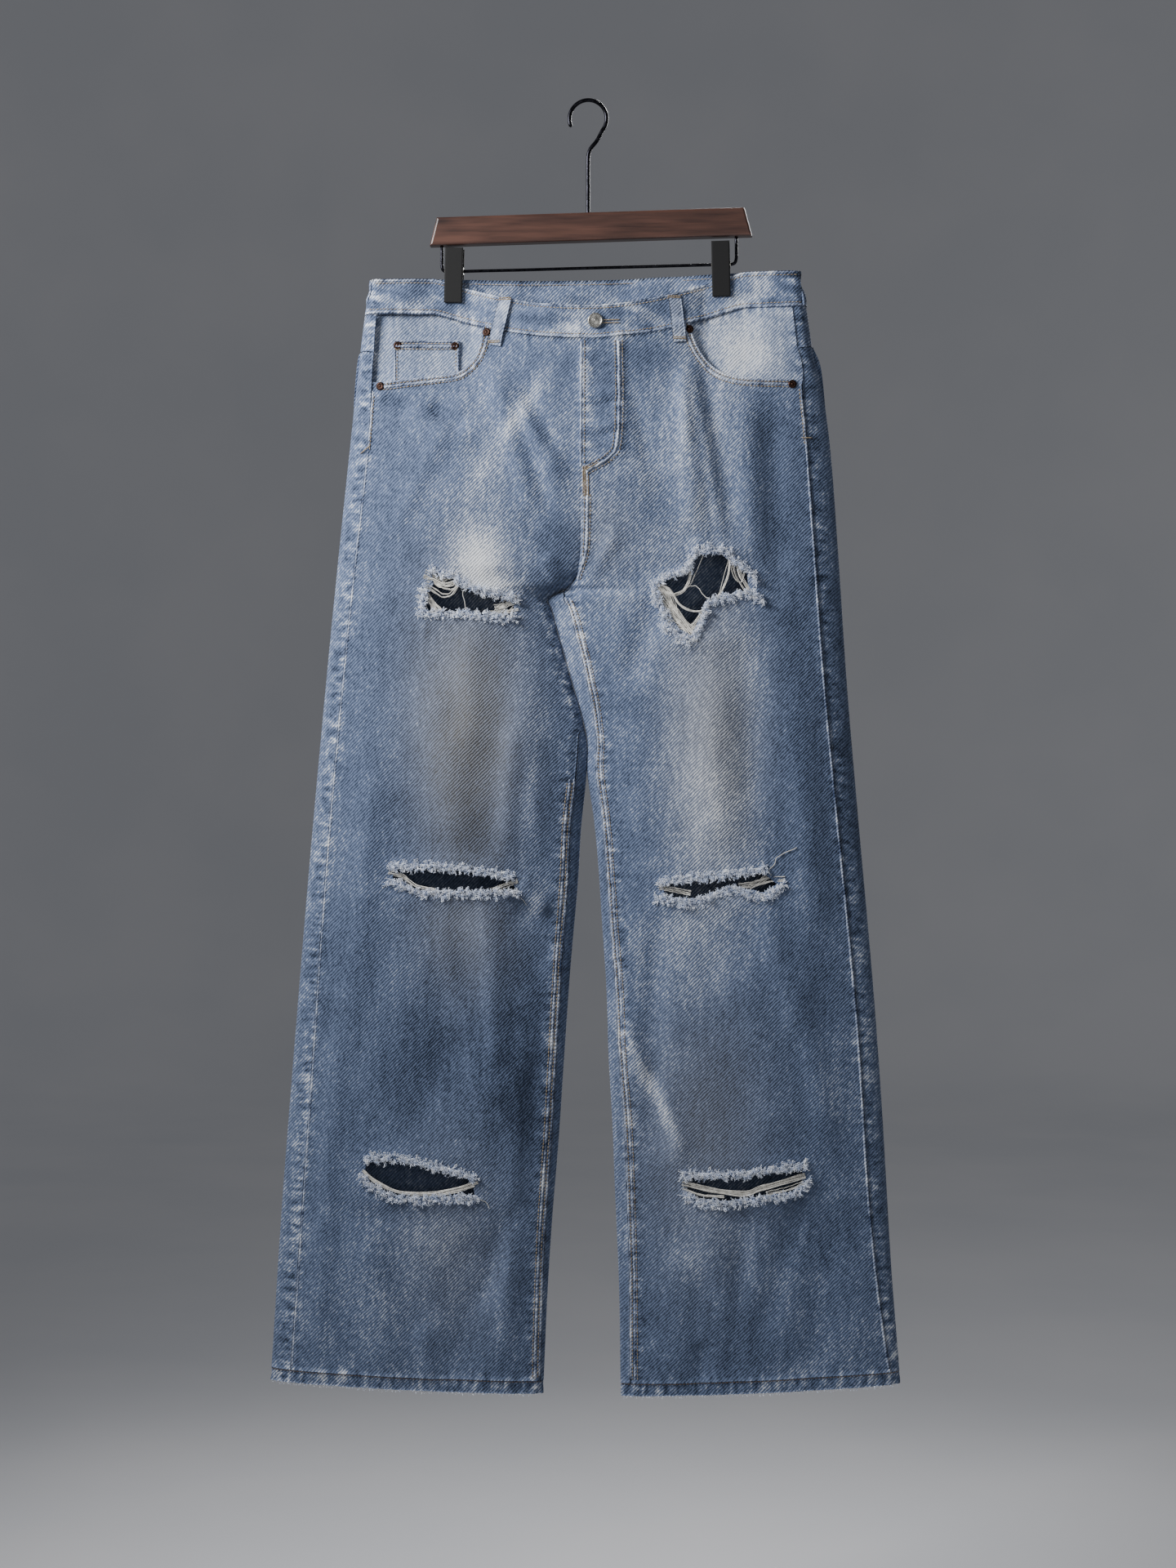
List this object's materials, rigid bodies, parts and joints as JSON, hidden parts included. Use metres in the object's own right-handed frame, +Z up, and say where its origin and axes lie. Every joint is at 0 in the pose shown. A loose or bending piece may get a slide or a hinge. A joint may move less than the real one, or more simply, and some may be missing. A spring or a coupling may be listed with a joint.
{
  "type": "ripped jeans on a clip hanger",
  "caption": "Light-wash wide-leg ripped jeans hanging from the clips of a dark wooden hanger with a wire hook.",
  "frame": {"origin": "inside top of the hook's bow, where the hanger rests on whatever holds it", "axes": "+Z up along the hook's stem, front of the jeans towards -Y, +X to the right seen from the front"},
  "size_m": [0.6103, 0.0685, 1.2538],
  "materials": {
    "denim": "light-washed cotton twill",
    "denim_seam": "light-washed cotton twill, doubled and worn at the edges",
    "denim_pale": "bleached cotton twill",
    "copper": "aged dark copper",
    "nickel": "antique nickel",
    "black_nickel": "glossy black nickel wire",
    "black_plate": "satin black lacquered metal",
    "walnut": "satin varnished dark wood"
  },
  "bodies": {
    "root": {"back_panel_left": "denim", "back_panel_right": "denim", "back_pocket_left": "denim", "back_pocket_right": "denim", "back_yoke_left": "denim", "back_yoke_right": "denim", "belt_loop_back_centre": "denim_seam", "belt_loop_back_left": "denim_seam", "belt_loop_back_right": "denim_seam", "belt_loop_front_left": "denim_seam", "belt_loop_front_right": "denim_seam", "clip_left_back": "black_plate", "clip_left_front": "black_plate", "clip_left_pivot": "nickel", "clip_right_back": "black_plate", "clip_right_front": "black_plate", "clip_right_pivot": "nickel", "coin_pocket": "denim_pale", "fly_facing": "denim", "front_panel_left": "denim", "front_panel_right": "denim", "hanger_bar": "walnut", "hanger_rail": "black_nickel", "hem_left": "denim_seam", "hem_right": "denim_seam", "hook": "black_nickel", "pocket_facing_left": "denim_pale", "pocket_facing_right": "denim_pale", "rivet_coin_left": "copper", "rivet_coin_right": "copper", "rivet_left_inner": "copper", "rivet_left_outer": "copper", "rivet_right_inner": "copper", "rivet_right_outer": "copper", "waist_button": "nickel", "waistband_back": "denim_seam", "waistband_front_left": "denim_seam", "waistband_front_right": "denim_seam"}
  },
  "joints": []
}
